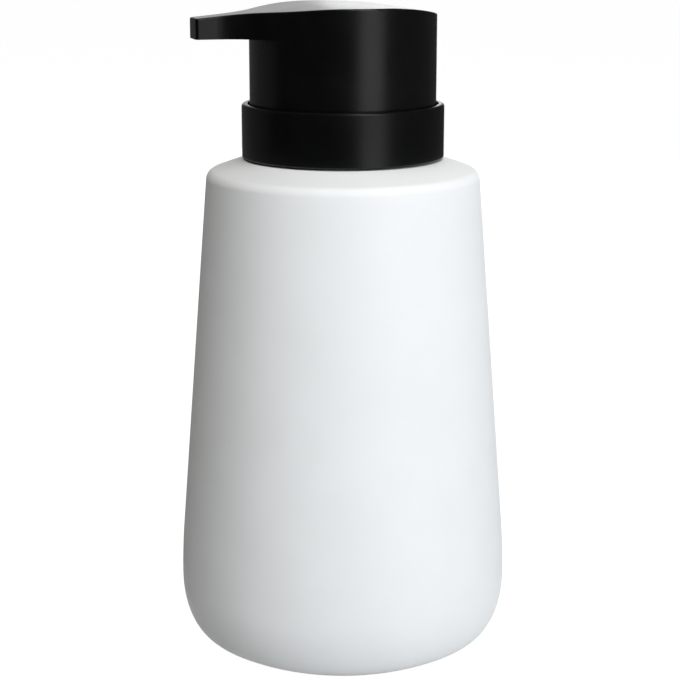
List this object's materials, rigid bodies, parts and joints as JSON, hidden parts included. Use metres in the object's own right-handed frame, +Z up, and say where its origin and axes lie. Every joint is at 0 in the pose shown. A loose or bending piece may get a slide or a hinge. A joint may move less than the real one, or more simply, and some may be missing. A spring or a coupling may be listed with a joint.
{
  "type": "soap pump dispenser",
  "caption": "Conical glazed ceramic soap bottle with a wide cylindrical press-down pump head, flat tapered spout, screw collar, spring piston pump and dip tube.",
  "frame": {"origin": "centre of the bottle's foot, on the surface that it stands on", "axes": "+Z up along the bottle's axis, the spout points along -X, +Y to the spout's right-hand side as seen from above with the spout to the left"},
  "size_m": [0.0808, 0.0808, 0.1593],
  "materials": {
    "white_glaze": "satin white glaze, unglazed foot ring",
    "black_satin": "fine satin black moulding",
    "black_moulded": "plain black moulding",
    "natural_plastic": "natural translucent polypropylene",
    "piston_plastic": "smooth polyethylene",
    "clear_tube": "clear polyethylene tube",
    "silicone": "soft translucent silicone",
    "seal_foam": "foamed polyethylene",
    "spring_steel": "drawn stainless wire",
    "ball_steel": "polished stainless ball"
  },
  "bodies": {
    "bottle_body": {"bottle": "white_glaze", "neck_insert": "black_moulded", "insert_seal_ring": "silicone"},
    "pump_body": {"pump_housing": "natural_plastic", "housing_gasket": "seal_foam", "stem_guide": "natural_plastic", "ball_cage": "natural_plastic", "dip_tube": "clear_tube", "return_spring": "spring_steel"},
    "collar_body": {"threaded_closure": "black_moulded", "collar_shell": "black_satin"},
    "piston_body": {"piston": "piston_plastic"},
    "head_body": {"head_shell": "black_satin", "spout_floor": "black_moulded", "head_core": "black_moulded", "outlet_nozzle": "black_moulded", "stem": "natural_plastic", "stem_valve_plug": "natural_plastic"},
    "ball_body": {"inlet_ball": "ball_steel"}
  },
  "joints": [
    {"name": "pump_lift", "type": "slide", "parent": "bottle_body", "child": "pump_body", "axis": [0, 0, 1], "range_m": [0, 0.13]},
    {"name": "collar_turn", "type": "hinge", "parent": "pump_body", "child": "collar_body", "pos_m": [0, 0, 0.1236], "axis": [0, 0, 1], "range_deg": [0, 360]},
    {"name": "head_press", "type": "slide", "parent": "pump_body", "child": "piston_body", "axis": [0, 0, -1], "range_m": [0, 0.009], "stiffness_N_per_m": 700, "springref_m": -0.006, "deforming": ["return_spring"]},
    {"name": "head_swivel", "type": "hinge", "parent": "piston_body", "child": "head_body", "pos_m": [0, 0, 0.15], "axis": [0, 0, 1], "continuous": true},
    {"name": "inlet_ball_lift", "type": "slide", "parent": "pump_body", "child": "ball_body", "axis": [0, 0, 1], "range_m": [0, 0.0013]}
  ]
}
